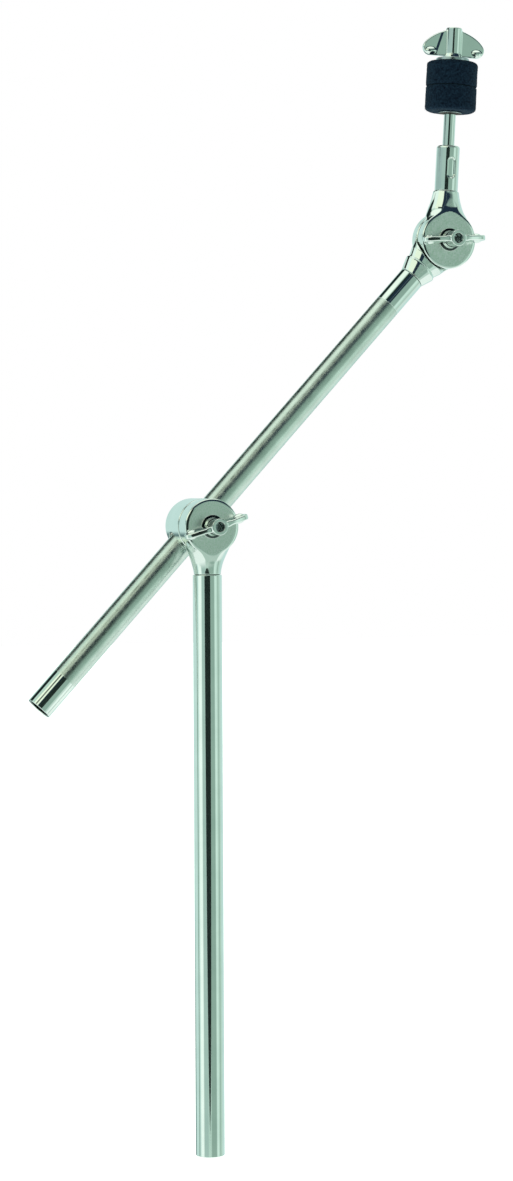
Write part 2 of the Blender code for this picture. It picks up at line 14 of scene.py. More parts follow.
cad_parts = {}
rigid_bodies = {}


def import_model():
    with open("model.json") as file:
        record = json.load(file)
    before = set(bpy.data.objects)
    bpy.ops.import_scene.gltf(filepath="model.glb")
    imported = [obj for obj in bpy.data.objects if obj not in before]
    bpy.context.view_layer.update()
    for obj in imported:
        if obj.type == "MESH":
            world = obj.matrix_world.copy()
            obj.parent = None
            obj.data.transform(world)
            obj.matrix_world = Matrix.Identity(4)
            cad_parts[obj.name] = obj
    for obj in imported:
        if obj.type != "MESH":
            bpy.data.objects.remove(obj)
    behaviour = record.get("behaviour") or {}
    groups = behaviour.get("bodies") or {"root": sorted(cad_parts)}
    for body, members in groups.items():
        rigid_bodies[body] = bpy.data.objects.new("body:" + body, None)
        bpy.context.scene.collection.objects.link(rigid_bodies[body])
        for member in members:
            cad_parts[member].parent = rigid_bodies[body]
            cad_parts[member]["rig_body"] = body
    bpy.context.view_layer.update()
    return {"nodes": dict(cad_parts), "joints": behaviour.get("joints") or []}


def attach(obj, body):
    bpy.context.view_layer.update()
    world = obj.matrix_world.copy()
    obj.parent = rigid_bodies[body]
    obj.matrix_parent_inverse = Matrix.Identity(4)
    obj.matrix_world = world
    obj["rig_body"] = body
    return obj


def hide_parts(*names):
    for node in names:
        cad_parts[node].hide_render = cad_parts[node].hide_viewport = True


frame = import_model()

MM = 0.001
UP = Vector((0.0, 0.0, 1.0))
JOINTS = {joint["name"]: joint for joint in frame["joints"]}

# Mesh fineness
ROUND_STEPS = 96
THREAD_STEPS = 32
FILLET_STEPS = 5
CASTING_CELL = 0.5
NUT_CELL = 0.35
SHARP_ANGLE = radians(40.0)

# Fits shared by several pieces
GAP = 0.3
CUT_EDGE = 0.3
TUBE_WALL = 1.2
LIP_EDGE = 0.45
SPIGOT_INSET = 1.5

# Threads
THREAD_PITCH = 1.0
THREAD_DEPTH = 0.45
THREAD_RADIUS = 3.0

# Outer skin of a turned piece, the only part that is threaded or dimpled
SKIN = 0.01

# Scale and detail of the two noises that all the metals share
CLOUD_NOISE = (60.0, 4.0)
SMEAR_NOISE = (220.0, 6.0)

# Knurling of the boom
KNURL_PITCH = 1.1
KNURL_DEPTH = 0.09
PLAIN_END = 25.8

# Tilters
DISC_EDGE = 0.8
DRUM_EDGE = 4.0
RIM_WIDTH = 2.8
RIM_DEPTH = 1.2
NECK_SETBACK = 0.4
STUD_HOLE = 3.3
FRICTION_RING_BORE = 7.2
SPRING_POCKET_RADIUS = 5.7
SPRING_POCKET_DEPTH = 5.0
DISC_CLEARANCE = 0.8
RING_MARGIN = 1.5
BRIGHT_RIM = 0.5

# Camera, about the stand's own upright axis
CAMERA_AZIMUTH = radians(-18.398)
CAMERA_DISTANCE = 1.9767
CAMERA_HEIGHT = 0.44526
CAMERA_YAW = radians(-0.936)
CAMERA_PITCH = radians(2.086)
CAMERA_ROLL = radians(-0.274)
CAMERA_LENS = 91.76
CAMERA_SENSOR = 36.0

# Studio in the chrome: colour, degrees right of the camera, degrees up, softness.
# A later layer covers an earlier one.
STUDIO_BASE = (0.53, 0.72, 0.62)
STUDIO_LAYERS = (
    ((0.60, 0.80, 0.76), (116.0, 400.0), (-200.0, 24.0), 6.0),
    ((0.60, 0.80, 0.76), (-400.0, -137.0), (-200.0, 24.0), 6.0),
    ((0.90, 1.05, 0.95), (-137.0, -60.0), (-200.0, 46.0), 4.0),
    ((0.38, 0.52, 0.49), (-137.0, -14.0), (3.0, 15.0), 1.5),
    ((0.42, 0.58, 0.52), (-60.0, -12.0), (-200.0, 12.0), 3.0),
    ((0.98, 1.08, 0.86), (-62.0, -4.0), (15.0, 50.0), 2.0),
    ((0.30, 0.44, 0.37), (12.0, 60.0), (-200.0, 22.0), 4.0),
    ((0.12, 0.20, 0.20), (-400.0, -141.0), (-200.0, -9.0), 3.0),
    ((0.60, 0.80, 0.75), (-137.0, -76.0), (-26.0, 3.0), 3.0),
    ((0.95, 1.08, 1.00), (-76.0, -48.0), (-26.0, 3.0), 4.0),
    ((0.28, 0.40, 0.33), (-98.0, -88.0), (-26.0, 3.0), 2.0),
    ((0.68, 0.88, 0.78), (57.0, 76.0), (-26.0, 12.0), 5.0),
    ((0.34, 0.48, 0.41), (88.0, 98.0), (-26.0, 12.0), 2.5),
    ((0.92, 1.02, 0.96), (-130.0, 400.0), (-200.0, -26.0), 6.0),
    ((0.48, 0.63, 0.55), (-8.0, 68.0), (-56.0, -24.0), 5.0),
    ((0.01, 0.02, 0.02), (-140.0, -84.0), (10.8, 17.0), 0.6),
    ((0.015, 0.03, 0.05), (-9.0, 12.0), (15.5, 51.0), 1.5),
    ((0.015, 0.03, 0.05), (12.0, 95.0), (19.5, 51.0), 2.0),
    ((0.01, 0.02, 0.02), (-36.0, -4.0), (40.0, 52.0), 3.0),
    ((0.01, 0.02, 0.02), (-400.0, -100.0), (25.0, 54.0), 3.0),
    ((1.00, 1.10, 0.98), (-400.0, 400.0), (55.0, 200.0), 3.0),
)
CARD_RADIUS = 0.85
CARD_COLOUR = (0.010, 0.018, 0.016)
FLOOR_COLOUR = (0.80, 0.86, 0.82)
FLOOR_GLOW = 0.75
WHITE = (1.0, 1.0, 1.0, 1.0)


# ---- local frames


def lean(joint):
    """Angle of a joint's axis from upright, about Y."""
    axis = JOINTS[joint]["axis"]
    return atan2(axis[0], axis[2])


def local_frame(origin, angle):
    """Millimetre frame at a point, leaned about Y."""
    turn = Matrix.Rotation(angle, 4, "Y")
    return Matrix.Translation(origin) @ turn @ Matrix.Scale(MM, 4)


FACING_FRONT = Matrix.Rotation(pi / 2.0, 4, "X")
FACING_BACK = Matrix.Rotation(-pi / 2.0, 4, "X")
LOWER_AXIS = Vector(JOINTS["boom_tilt"]["pos_m"])
UPPER_AXIS = Vector(JOINTS["post_tilt"]["pos_m"])
BOOM_LEAN = lean("boom_slide")
STAND = local_frame(Vector((0.0, 0.0, 0.0)), 0.0)
TILT = local_frame(LOWER_AXIS, 0.0)
BOOM = local_frame(Vector(JOINTS["boom_roll"]["pos_m"]), BOOM_LEAN)
HEAD = local_frame(UPPER_AXIS, BOOM_LEAN)
POST = local_frame(UPPER_AXIS, lean("cymbal_nut_travel"))


def local_points(node, place):
    """A CAD node's points in a local frame, in millimetres."""
    points = np.array([vertex.co for vertex in frame["nodes"][node].data.vertices])
    inverse = np.array(place.inverted())
    return points @ inverse[:3, :3].T + inverse[:3, 3]


def local_box(node, place):
    """Lowest and highest corner of a CAD node in a local frame, in millimetres."""
    points = local_points(node, place)
    return points.min(0), points.max(0)


# ---- meshes


def add_piece(node, points, faces, place, look):
    """Make a mesh object that stands for a CAD node and rides on the node's body."""
    name = node + "_look"
    matrix = np.array(place)
    placed = points @ matrix[:3, :3].T + matrix[:3, 3]
    mesh = bpy.data.meshes.new(name)
    mesh.from_pydata(placed.tolist(), [], faces)
    mesh.materials.append(look)
    mesh.shade_smooth()
    piece = bpy.data.objects.new(name, mesh)
    bpy.context.scene.collection.objects.link(piece)
    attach(piece, frame["nodes"][node]["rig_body"])
    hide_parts(node)
    return piece


def weigh_normals(piece):
    """Keep flats flat beside their rounded edges."""
    piece.data.set_sharp_from_angle(angle=SHARP_ANGLE)
    modifier = piece.modifiers.new("weighted", "WEIGHTED_NORMAL")
    modifier.keep_sharp = True
    modifier.weight = 100


def rounded(corners):
    """Replace each (radius, height, fillet) corner of an outline by a short arc."""
    outline = []
    for index, (radius, height, fillet) in enumerate(corners):
        here = np.array((radius, height))
        if fillet == 0.0:
            outline.append(here)
            continue
        before = np.array(corners[index - 1][:2]) - here
        after = np.array(corners[(index + 1) % len(corners)][:2]) - here
        before /= np.hypot(*before)
        after /= np.hypot(*after)
        half = acos(np.clip(before @ after, -1.0, 1.0)) / 2.0
        middle = (before + after) / np.hypot(*(before + after))
        centre = here + middle * fillet / sin(half)
        start = here + before * fillet / tan(half) - centre
        end = here + after * fillet / tan(half) - centre
        first = atan2(start[1], start[0])
        sweep = (atan2(end[1], end[0]) - first + pi) % tau - pi
        for step in range(FILLET_STEPS + 1):
            angle = first + sweep * step / FILLET_STEPS
            outline.append(centre + fillet * np.array((cos(angle), sin(angle))))
    return np.array(outline)


def divided(outline, longest, closed=True):
    """Split an outline's long stretches into steps no longer than the given length."""
    following = np.roll(outline, -1, 0) if closed else outline[1:]
    points = []
    for here, there in zip(outline, following):
        steps = max(1, int(np.ceil(np.hypot(*(there - here)) / longest)))
        points.extend(here + (there - here) * step / steps for step in range(steps))
    if not closed:
        points.append(outline[-1])
    return np.array(points)


def turned(outline, steps, shape=None, closed=True):
    """Turn a (radius, height) outline about Z; shape may move each radius in or out."""
    rows = len(outline)
    angle = np.tile(np.arange(steps) * tau / steps, (rows, 1))
    radius = np.repeat(outline[:, :1], steps, 1)
    height = np.repeat(outline[:, 1:], steps, 1)
    if shape:
        radius = shape(radius, angle, height)
    points = np.stack((radius * np.cos(angle), radius * np.sin(angle), height), -1).reshape(-1, 3)
    row = np.arange(rows if closed else rows - 1)[:, None]
    column = np.arange(steps)[None, :]
    after_row = (row + 1) % rows
    after_column = (column + 1) % steps
    quads = np.stack((row * steps + column, row * steps + after_column,
                      after_row * steps + after_column, after_row * steps + column), -1)
    return points, quads.reshape(-1, 4).tolist()


def close_poles(points, faces, steps):
    """Cap both open ends of a turned outline with a fan about the axis."""
    first = len(points)
    last = first + 1
    tips = [points[:steps].mean(0), points[-steps:].mean(0)]
    offset = first - steps
    for column in range(steps):
        following = (column + 1) % steps
        faces.append([following, column, first])
        faces.append([offset + column, offset + following, last])
    return np.vstack((points, tips)), faces


def joined(points, faces, more_points, more_faces):
    """Two meshes as one."""
    offset = len(points)
    moved = [[offset + corner for corner in face] for face in more_faces]
    return np.vstack((points, more_points)), faces + moved


def ring(inner, outer, low, high, edge):
    """Outline of a ring with rounded corners."""
    return rounded([(inner, low, edge), (outer, low, edge), (outer, high, edge), (inner, high, edge)])


def add_ring(node, place, inner, edge, look):
    """A plain ring over a CAD node's own outer size and thickness."""
    low, high = local_box(node, place)
    points, faces = turned(ring(inner, high[0], low[2], high[2], edge), ROUND_STEPS)
    piece = add_piece(node, points, faces, place, look)
    weigh_normals(piece)
    return piece


def add_seat_washer():
    """Thin washer under the felts, bright round its rim; its dark underside is painted shade."""
    washer = add_ring("seat_washer", POST, STUD_HOLE, 0.2, STEEL)
    washer.data.materials.append(FIBRE_AND_PAINTED_SHADE)
    # Downward faces take the dark fibre look: painted shade under the felts, not a fibre face.
    for face in washer.data.polygons:
        face.material_index = int(face.normal.z < -0.9)


def add_cone_washer(node, place):
    """Washer dished towards its bore, with a rounded chrome rim and a dark inside that is painted
    shade round the nut.
    """
    low, high = local_box(node, place)
    rim = high[0]
    rim_height = 0.6
    crown = STUD_HOLE + 1.4
    outline = rounded([(STUD_HOLE, low[2], 0.1), (rim, low[2], 0.2), (rim, low[2] + rim_height, 0.25),
                       (crown, high[2], 0.6), (STUD_HOLE, high[2], 0.1)])
    points, faces = turned(outline, ROUND_STEPS)
    washer = add_piece(node, points, faces, place, CHROME)
    washer.data.materials.append(PAINTED_SHADE_METAL)
    # Faces inside the chrome rim take the dark metal: painted shade round the nut's foot.
    for face, corners in zip(washer.data.polygons, faces):
        x, y, _ = points[corners].mean(0)
        face.material_index = int(np.hypot(x, y) < rim - BRIGHT_RIM)
    weigh_normals(washer)


# ---- solids from distance fields


def rounded_max(first, second, radius):
    """Keep what is inside both fields, with the shared edge rounded."""
    over = np.hypot(np.maximum(first + radius, 0.0), np.maximum(second + radius, 0.0))
    return np.minimum(np.maximum(first, second), -radius) + over


def rounded_min(first, second, radius):
    """Join two fields with a fillet."""
    return -rounded_max(-first, -second, radius)


def softened_max(first, second, first_reach, second_reach):
    """Like rounded_max, with an oval edge that reaches unequally along the two sides."""
    over_first = first / first_reach + 1.0
    over_second = second / second_reach + 1.0
    over = np.hypot(np.maximum(over_first, 0.0), np.maximum(over_second, 0.0))
    share = np.minimum(np.maximum(over_first, over_second), 0.0) + over - 1.0
    return share * min(first_reach, second_reach)


def cut(field, tool, edge):
    """Take a tool out of a field and round the edge it leaves."""
    return rounded_max(field, -tool, edge)


def slab(value, low, high):
    """Field between two parallel planes."""
    return np.maximum(low - value, value - high)


def oval(x, y, half_x, half_y):
    """Near distance to an ellipse."""
    reach = np.hypot(x / half_x, y / half_y)
    slope = np.maximum(np.hypot(x / half_x**2, y / half_y**2), 1e-9)
    return np.where(reach < 1e-6, -np.minimum(half_x, half_y), reach * (reach - 1.0) / slope)


def gradient(field, points, step=0.02):
    """Slope of a field at many points."""
    slopes = []
    for axis in range(3):
        shift = np.zeros(3)
        shift[axis] = step
        slopes.append((field(points + shift) - field(points - shift)) / (2.0 * step))
    return np.stack(slopes, -1)


def settle(field, points, longest):
    """Move points onto the field's zero level."""
    for _ in range(4):
        slope = gradient(field, points)
        size = np.maximum((slope**2).sum(-1, keepdims=True), 1e-3)
        move = slope * (field(points)[:, None] / size)
        length = np.maximum(np.linalg.norm(move, axis=-1, keepdims=True), 1e-12)
        points = points - move * np.minimum(1.0, longest / length)
    return points


def crossings(value, grid, cell):
    """Mean crossing point of every grid cell that the surface passes through."""
    shape = [size - 1 for size in value.shape]
    total = np.zeros(shape + [3])
    count = np.zeros(shape)
    for axis in range(3):
        near = np.delete(value, -1, axis)
        far = np.delete(value, 0, axis)
        crossed = (near < 0.0) != (far < 0.0)
        share = np.where(crossed, near / np.where(crossed, near - far, 1.0), 0.0)
        point = np.delete(grid, -1, axis).copy()
        point[..., axis] += share * cell
        others = [other for other in range(3) if other != axis]
        for first in (0, 1):
            for second in (0, 1):
                window = [slice(None)] * 3
                window[others[0]] = slice(first, first + shape[others[0]])
                window[others[1]] = slice(second, second + shape[others[1]])
                window = tuple(window)
                total += point[window] * crossed[window][..., None]
                count += crossed[window]
    return total, count


def surface(field, low, high, cell):
    """Mesh a field's zero level with one point in each crossed cell of a grid."""
    axes = [np.arange(start - 2.0 * cell, end + 3.0 * cell, cell) for start, end in zip(low, high)]
    grid = np.stack(np.meshgrid(*axes, indexing="ij"), -1)
    value = field(grid)
    total, count = crossings(value, grid, cell)
    used = count > 0
    number = np.full(used.shape, -1)
    number[used] = np.arange(used.sum())
    points = total[used] / count[used][:, None]
    faces = []
    for axis in range(3):
        near = np.delete(value, -1, axis)
        far = np.delete(value, 0, axis)
        others = [other for other in range(3) if other != axis]
        inner = [slice(None)] * 3
        for other in others:
            inner[other] = slice(1, -1)
        inner = tuple(inner)
        for outward, chosen in ((True, (near < 0) & (far >= 0)), (False, (near >= 0) & (far < 0))):
            place = np.argwhere(chosen[inner])
            for other in others:
                place[:, other] += 1
            corners = []
            for first, second in ((1, 1), (0, 1), (0, 0), (1, 0)):
                cell_index = place.copy()
                cell_index[:, others[0]] -= first
                cell_index[:, others[1]] -= second
                corners.append(number[tuple(cell_index.T)])
            quads = np.stack(corners, -1)
            if outward == (axis == 1):
                quads = quads[:, ::-1]
            faces.append(quads)
    return relax(field, points, np.vstack(faces), cell)


def relax(field, points, quads, cell):
    """Even out the points along the surface, keeping them on it."""
    points = settle(field, points, cell)
    edges = np.vstack([quads[:, (side, (side + 1) % 4)] for side in range(4)])
    degree = np.bincount(edges[:, 0], minlength=len(points))
    for _ in range(3):
        total = np.zeros_like(points)
        for axis in range(3):
            total[:, axis] = np.bincount(edges[:, 0], points[edges[:, 1], axis], len(points))
        points = settle(field, points + 0.5 * (total / degree[:, None] - points), cell)
    return points, quads.tolist()


def add_solid(node, place, field, cell, look):
    """Mesh a field over a CAD node's box and shade it by the field's own slope."""
    low, high = local_box(node, place)
    points, faces = surface(field, low, high, cell)
    slope = gradient(field, points, 0.05)
    piece = add_piece(node, points, faces, place, look)
    turn = np.array(place)[:3, :3] / MM
    normals = slope @ turn.T
    normals /= np.linalg.norm(normals, axis=-1, keepdims=True)
    piece.data.normals_split_custom_set_from_vertices(normals.tolist())


# ---- materials


def start_material(name, colour, metallic, roughness):
    """A Principled material with uniform values on its own sockets."""
    look = bpy.data.materials.new(name)
    look.use_nodes = True
    shader = look.node_tree.nodes["Principled BSDF"]
    shader.inputs["Base Color"].default_value = (*colour, 1.0)
    shader.inputs["Metallic"].default_value = metallic
    shader.inputs["Roughness"].default_value = roughness
    look.diffuse_color = (*colour, 1.0)
    return look, look.node_tree.nodes, look.node_tree.links, shader


def add_node(nodes, kind, **values):
    """A shader node with plain values on its sockets; an underscore stands for a space."""
    node = nodes.new("ShaderNode" + kind)
    for socket, value in values.items():
        node.inputs[socket.replace("_", " ")].default_value = value
    return node


def add_noise(nodes, links, scale, detail):
    """Noise over the object's own coordinates."""
    coordinates = nodes.new("ShaderNodeTexCoord")
    texture = add_node(nodes, "TexNoise", Scale=scale, Detail=detail)
    links.new(coordinates.outputs["Object"], texture.inputs["Vector"])
    return texture.outputs["Fac"]


def add_range(nodes, links, value, low, high):
    """Spread a noise value between two limits."""
    spread = add_node(nodes, "MapRange", From_Min=0.3, From_Max=0.7, To_Min=low, To_Max=high)
    links.new(value, spread.inputs["Value"])
    return spread.outputs["Result"]


def add_mix(nodes, links, kind, factor, first, second):
    """Blend two colours or numbers, each given plainly or by a socket."""
    mix = nodes.new("ShaderNodeMix")
    mix.data_type = kind
    links.new(factor, mix.inputs["Factor"])
    for name, value in (("A", first), ("B", second)):
        if isinstance(value, bpy.types.NodeSocket):
            links.new(value, mix.inputs[name])
        else:
            mix.inputs[name].default_value = (*value, 1.0)
    return mix.outputs["Result"]


def add_colours(nodes, links, value, dark, light):
    """Blend two colours by a noise value."""
    return add_mix(nodes, links, "RGBA", add_range(nodes, links, value, 0.0, 1.0), dark, light)


def add_dot(nodes, links, vector, direction):
    """Component of a vector along a fixed direction."""
    dot = nodes.new("ShaderNodeVectorMath")
    dot.operation = "DOT_PRODUCT"
    dot.inputs[1].default_value = direction
    links.new(vector, dot.inputs[0])
    return dot.outputs["Value"]


def add_step(nodes, links, value, low, high):
    """Smooth rise from nothing at low to one at high."""
    step = add_node(nodes, "MapRange", From_Min=low, From_Max=high)
    step.interpolation_type = "SMOOTHSTEP"
    links.new(value, step.inputs["Value"])
    return step.outputs["Result"]


def add_bump(nodes, links, shader, value, strength, distance):
    """Fine relief, its distance in metres."""
    bump = add_node(nodes, "Bump", Strength=strength, Distance=distance)
    links.new(value, bump.inputs["Height"])
    links.new(bump.outputs["Normal"], shader.inputs["Normal"])


def metal(name, dark, light, smooth, rough, relief, grain):
    """Plated or bare metal: faint clouding, uneven polish and a fine relief."""
    look, nodes, links, shader = start_material(name, light, 1.0, smooth)
    clouds = add_noise(nodes, links, *CLOUD_NOISE)
    links.new(add_colours(nodes, links, clouds, dark, light), shader.inputs["Base Color"])
    smears = add_noise(nodes, links, *SMEAR_NOISE)
    links.new(add_range(nodes, links, smears, smooth, rough), shader.inputs["Roughness"])
    add_bump(nodes, links, shader, add_noise(nodes, links, grain, 3.0), 0.25, relief)
    return look


def satin_face_metal(name):
    """Polished casting whose flat front face is left satin."""
    look, nodes, links, shader = start_material(name, (0.80, 0.86, 0.83), 1.0, 0.1)
    normal = nodes.new("ShaderNodeTexCoord").outputs["Normal"]
    facing = add_dot(nodes, links, normal, (0.0, -1.0, 0.0))
    face = add_step(nodes, links, facing, 0.985, 0.999)
    smears = add_noise(nodes, links, *SMEAR_NOISE)
    polished = add_range(nodes, links, smears, 0.05, 0.10)
    satin = add_range(nodes, links, smears, 0.28, 0.36)
    links.new(add_mix(nodes, links, "FLOAT", face, polished, satin), shader.inputs["Roughness"])
    clouds = add_noise(nodes, links, *CLOUD_NOISE)
    grains = add_noise(nodes, links, 1000.0, 2.0)
    bright = add_colours(nodes, links, clouds, (0.76, 0.83, 0.80), (0.84, 0.90, 0.87))
    grainy = add_colours(nodes, links, grains, (0.74, 0.86, 0.76), (1.00, 1.00, 1.00))
    links.new(add_mix(nodes, links, "RGBA", face, bright, grainy), shader.inputs["Base Color"])
    add_bump(nodes, links, shader, grains, 0.15, 0.00002)
    return look


def felt_material():
    """Pressed wool: dark blue with paler hairs and a soft sheen."""
    look, nodes, links, shader = start_material("felt_look", (0.006, 0.014, 0.026), 0.0, 0.95)
    hairs = add_noise(nodes, links, 800.0, 5.0)
    links.new(add_colours(nodes, links, hairs, (0.0005, 0.0025, 0.010), (0.010, 0.027, 0.050)),
              shader.inputs["Base Color"])
    shader.inputs["Sheen Weight"].default_value = 0.05
    shader.inputs["Sheen Roughness"].default_value = 0.6
    shader.inputs["Sheen Tint"].default_value = (0.35, 0.55, 0.70, 1.0)
    shader.inputs["Specular IOR Level"].default_value = 0.08
    add_bump(nodes, links, shader, hairs, 1.0, 0.0004)
    return look


def dull_material(name, dark, light, roughness, grain, relief):
    """Nylon or fibre: mottled, matt and slightly uneven."""
    look, nodes, links, shader = start_material(name, light, 0.0, roughness)
    mottling = add_noise(nodes, links, grain, 4.0)
    links.new(add_colours(nodes, links, mottling, dark, light), shader.inputs["Base Color"])
    links.new(add_range(nodes, links, mottling, roughness - 0.08, roughness + 0.05),
              shader.inputs["Roughness"])
    add_bump(nodes, links, shader, mottling, 0.4, relief)
    return look


CHROME = metal("chrome_look", (0.78, 0.85, 0.82), (0.86, 0.92, 0.89),
               0.035, 0.08, 0.000004, 900.0)
CASTING = satin_face_metal("casting_look")
KNURLED = metal("knurled_look", (0.66, 0.74, 0.69), (0.78, 0.86, 0.81),
                0.22, 0.34, 0.00001, 2500.0)
# Dark metal for the cone washers' insides: painted shade, not a finish of the washer.
PAINTED_SHADE_METAL = metal("painted_shade_look", (0.035, 0.05, 0.05), (0.09, 0.11, 0.11),
                  0.15, 0.26, 0.00001, 1600.0)
STEEL = metal("steel_look", (0.44, 0.50, 0.53), (0.60, 0.66, 0.68),
              0.16, 0.30, 0.00001, 1600.0)
FELT = felt_material()
NYLON = dull_material("nylon_look", (0.62, 0.63, 0.58), (0.80, 0.80, 0.75), 0.45, 300.0, 0.00004)
# Dark fibre of the friction rings, also laid on the seat washer's underside as painted shade.
FIBRE_AND_PAINTED_SHADE = dull_material("fibre_and_painted_shade_look", (0.02, 0.018, 0.016), (0.07, 0.06, 0.05), 0.80, 900.0, 0.0001)


# ---- tubes, rings and threads


def thread_shape(radius_outside, low, high):
    """Shape function that cuts a thread between two heights of a round bar."""
    def shape(radius, angle, height):
        turn = (height / THREAD_PITCH - angle / tau) % 1.0
        depth = THREAD_DEPTH * np.abs(2.0 * turn - 1.0)
        ends = np.minimum(height - low, high - height) / THREAD_PITCH
        depth = depth * np.clip(ends, 0.0, 1.0)
        return np.where(radius > radius_outside - SKIN, radius - depth, radius)
    return shape


def add_lower_tube():
    """Plain chrome tube with softened lips."""
    low, high = local_box("lower_tube", STAND)
    outline = ring(high[0] - TUBE_WALL, high[0], low[2], high[2], LIP_EDGE)
    points, faces = turned(outline, ROUND_STEPS)
    weigh_normals(add_piece("lower_tube", points, faces, STAND, CHROME))


def knurl_rows(radius, low, high):
    """Points of a diamond knurl: alternate points of each row stand proud."""
    columns = 2 * int(round(pi * radius / KNURL_PITCH))
    rows = 2 * int(round((high - low) / KNURL_PITCH))
    row, column = np.meshgrid(np.arange(rows + 1), np.arange(columns), indexing="ij")
    raised = (row + column) % 2 == 0
    raised &= (row > 0) & (row < rows)
    reach = np.where(raised, radius, radius - KNURL_DEPTH)
    angle = column * tau / columns
    height = low + (high - low) * row / rows
    points = np.stack((reach * np.cos(angle), reach * np.sin(angle), height), -1)
    return points.reshape(-1, 3), rows, columns


def knurl_faces(rows, columns, start):
    """Triangles of the knurl, each square split between its two low corners."""
    row, column = np.meshgrid(np.arange(rows), np.arange(columns), indexing="ij")
    following = (column + 1) % columns
    corner = [start + row * columns + column, start + row * columns + following,
              start + (row + 1) * columns + following, start + (row + 1) * columns + column]
    even = ((row + column) % 2 == 0)[..., None]
    first = np.where(even, np.stack((corner[0], corner[1], corner[3]), -1),
                     np.stack((corner[0], corner[1], corner[2]), -1))
    second = np.where(even, np.stack((corner[1], corner[2], corner[3]), -1),
                      np.stack((corner[0], corner[2], corner[3]), -1))
    return np.vstack((first.reshape(-1, 3), second.reshape(-1, 3))).tolist()


def add_boom_tube():
    """Boom: knurled middle between two plain chrome ends."""
    low, high = local_box("boom_tube", BOOM)
    radius = high[0]
    inner = radius - TUBE_WALL
    groove = radius - KNURL_DEPTH
    from_height = low[2] + PLAIN_END
    to_height = high[2] - PLAIN_END
    points, rows, columns = knurl_rows(radius, from_height, to_height)
    faces = knurl_faces(rows, columns, 0)
    knurled_faces = len(faces)
    plain = rounded([
        (groove, to_height, 0.0), (radius, to_height + KNURL_DEPTH, 0.0),
        (radius, high[2], LIP_EDGE), (inner, high[2], LIP_EDGE),
        (inner, low[2], LIP_EDGE), (radius, low[2], LIP_EDGE),
        (radius, from_height - KNURL_DEPTH, 0.0), (groove, from_height, 0.0)])
    shell, shell_faces = turned(plain, columns, closed=False)
    points, faces = joined(points, faces, shell, shell_faces)
    piece = add_piece("boom_tube", points, faces, BOOM, KNURLED)
    piece.data.materials.append(CHROME)
    plain_faces = np.arange(len(faces)) >= knurled_faces
    piece.data.polygons.foreach_set("material_index", plain_faces.astype(np.int32))
    piece.data.polygons.foreach_set("use_smooth", plain_faces)
    weigh_normals(piece)


def turned_bar(corners, shape):
    """Closed round bar from axis to axis, divided finely enough for a thread."""
    outline = divided(rounded(corners)[1:-1], THREAD_PITCH / 8.0, closed=False)
    points, faces = turned(outline, THREAD_STEPS, shape, closed=False)
    return close_poles(points, faces, THREAD_STEPS)


def add_threaded_rod():
    """Cymbal rod: plain lower length, shoulder and threaded top."""
    low, high = local_box("cymbal_rod", POST)
    shoulder = local_box("seat_washer", POST)[0][2] - GAP
    thread = thread_shape(THREAD_RADIUS, shoulder + 1.0, high[2] - 0.4)
    points, faces = turned_bar([
        (0.0, low[2], 0.0), (high[0], low[2], 0.4), (high[0], shoulder, 0.5),
        (THREAD_RADIUS, shoulder, 0.2), (THREAD_RADIUS, high[2], 0.6), (0.0, high[2], 0.0)], thread)
    weigh_normals(add_piece("cymbal_rod", points, faces, POST, CHROME))


def dimple_shape(outside, centre, length, width, depth):
    """Shape function that presses one oblong dimple into a sleeve's front."""
    def shape(radius, angle, height):
        along = np.maximum(np.abs(height - centre) - (length - width) / 2.0, 0.0)
        across = outside * ((angle - 1.5 * pi + pi) % tau - pi)
        inside = width / 2.0 - np.hypot(along, across)
        share = np.clip(inside + 0.25, 0.0, 1.0)
        pressed = depth * share * share * (3.0 - 2.0 * share)
        return np.where(radius > outside - SKIN, radius - pressed, radius)
    return shape


def add_post_sleeve():
    """Round sleeve with a soft shoulder and the crimping dimple."""
    low, high = local_box("post_sleeve", POST)
    radius = high[0]
    bore = 4.3
    outline = rounded([(bore, low[2], 0.3), (radius, low[2], 0.4), (radius, high[2], 1.6),
                       (bore, high[2], 0.3)])
    outline = divided(outline, 0.35)
    shape = dimple_shape(radius, centre=49.0, length=14.2, width=5.8, depth=1.1)
    points, faces = turned(outline, 2 * ROUND_STEPS, shape)
    weigh_normals(add_piece("post_sleeve", points, faces, POST, CHROME))


def add_eye_bolt():
    """Eye round the boom with its threaded stud."""
    low, high = local_box("eye_bolt", BOOM)
    wall = 1.8
    inner = high[0] - wall
    points, faces = turned(ring(inner, high[0], low[2], high[2], 0.5), ROUND_STEPS)
    root = inner + wall / 2.0
    thread_start = 22.0
    front = -low[1]
    stud, stud_faces = turned_bar([
        (0.0, root, 0.0), (THREAD_RADIUS, root, 0.2), (THREAD_RADIUS, front, 0.6),
        (0.0, front, 0.0)], thread_shape(THREAD_RADIUS, thread_start, front - 0.3))
    stud = stud @ np.array(FACING_FRONT)[:3, :3].T
    points, faces = joined(points, faces, stud, stud_faces)
    weigh_normals(add_piece("eye_bolt", points, faces, BOOM, STEEL))


def hexagon(x, y, across):
    """Field of a hexagon with the given size across its flats."""
    sides = [np.abs(x * sin(turn) + y * cos(turn)) for turn in (0.0, pi / 3.0, 2.0 * pi / 3.0)]
    return np.maximum.reduce(sides) - across / 2.0


